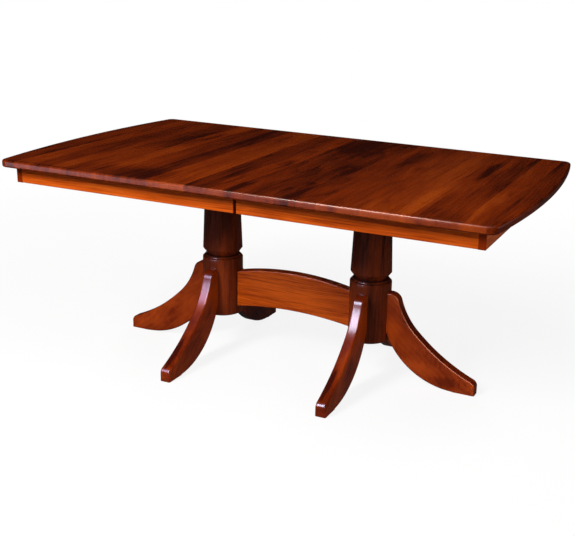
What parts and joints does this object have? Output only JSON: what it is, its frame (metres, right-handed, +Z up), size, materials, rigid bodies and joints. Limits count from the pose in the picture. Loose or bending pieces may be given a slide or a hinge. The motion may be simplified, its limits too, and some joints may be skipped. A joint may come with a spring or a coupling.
{
  "type": "dining table",
  "caption": "Pedestal dining table: bow-ended top split across the middle slides apart on geared runners over turned columns, curved legs and an arched stretcher.",
  "frame": {"origin": "on the floor, under the centre of the closed table", "axes": "+X along the table to the right end, +Y to the rear, +Z up"},
  "size_m": [1.8286, 1.0668, 0.762],
  "materials": {
    "top_wood": "gloss red-brown stain",
    "apron_wood": "satin red-brown stain",
    "column_wood": "satin dark red-brown stain",
    "leg_wood": "gloss red-brown stain",
    "stretcher_wood": "satin red-brown stain",
    "slide_wood": "waxed bare hardwood",
    "gear_plastic": "natural nylon",
    "screw_steel": "zinc plated",
    "lock_brass": "brushed",
    "glide_plastic": "matt"
  },
  "bodies": {
    "base": {"column_left": "column_wood", "leg_outer_left": "leg_wood", "leg_front_left": "leg_wood", "leg_rear_left": "leg_wood", "leg_bolts_left": "screw_steel", "leg_washers_left": "screw_steel", "leg_nuts_left": "screw_steel", "mounting_board_left": "slide_wood", "lag_screws_left": "screw_steel", "column_right": "column_wood", "leg_outer_right": "leg_wood", "leg_front_right": "leg_wood", "leg_rear_right": "leg_wood", "leg_bolts_right": "screw_steel", "leg_washers_right": "screw_steel", "leg_nuts_right": "screw_steel", "mounting_board_right": "slide_wood", "lag_screws_right": "screw_steel", "stretcher": "stretcher_wood", "foot_glides": "glide_plastic", "board_screws": "screw_steel", "centre_runner_front": "slide_wood", "centre_runner_rear": "slide_wood", "pinion_axles": "screw_steel", "stop_pins": "screw_steel"},
    "top_left": {"top_left": "top_wood", "apron_front_left": "apron_wood", "apron_rear_left": "apron_wood", "apron_end_left": "apron_wood", "corner_blocks_left": "slide_wood", "runner_front_left": "slide_wood", "runner_rear_left": "slide_wood", "rack_front_left": "gear_plastic", "rack_rear_left": "gear_plastic", "runner_screws_left": "screw_steel", "apron_screws_left": "screw_steel", "lock_pivots": "lock_brass"},
    "top_right": {"top_right": "top_wood", "apron_front_right": "apron_wood", "apron_rear_right": "apron_wood", "apron_end_right": "apron_wood", "corner_blocks_right": "slide_wood", "runner_front_right": "slide_wood", "runner_rear_right": "slide_wood", "rack_front_right": "gear_plastic", "rack_rear_right": "gear_plastic", "runner_screws_right": "screw_steel", "apron_screws_right": "screw_steel", "alignment_pins": "lock_brass", "lock_keepers": "lock_brass"},
    "pinion_front": {"pinion_front": "gear_plastic"},
    "pinion_rear": {"pinion_rear": "gear_plastic"},
    "table_lock_front": {"table_lock_front": "lock_brass"},
    "table_lock_rear": {"table_lock_rear": "lock_brass"}
  },
  "joints": [
    {"name": "top_right_slide", "type": "slide", "parent": "base", "child": "top_right", "axis": [1, 0, 0], "range_m": [0, 0.3048]},
    {"name": "top_left_slide", "type": "slide", "parent": "base", "child": "top_left", "axis": [-1, 0, 0], "range_m": [0, 0.3048]},
    {"name": "pinion_front_spin", "type": "hinge", "parent": "base", "child": "pinion_front", "pos_m": [0, -0.215, 0.704], "axis": [0, 0, 1], "range_deg": [-794, 0]},
    {"name": "pinion_rear_spin", "type": "hinge", "parent": "base", "child": "pinion_rear", "pos_m": [0, 0.215, 0.704], "axis": [0, 0, 1], "range_deg": [0, 794]},
    {"name": "table_lock_front_swing", "type": "hinge", "parent": "top_left", "child": "table_lock_front", "pos_m": [-0.038, -0.372, 0.734], "axis": [0, 0, 1], "range_deg": [-90, 0]},
    {"name": "table_lock_rear_swing", "type": "hinge", "parent": "top_left", "child": "table_lock_rear", "pos_m": [-0.038, 0.372, 0.734], "axis": [0, 0, 1], "range_deg": [0, 90]}
  ],
  "couplings": [
    {"joint": "top_left_slide", "follows": "top_right_slide", "ratio": 1},
    {"joint": "pinion_front_spin", "follows": "top_right_slide", "rad_per_m": -45.455},
    {"joint": "pinion_rear_spin", "follows": "top_right_slide", "rad_per_m": 45.455}
  ]
}
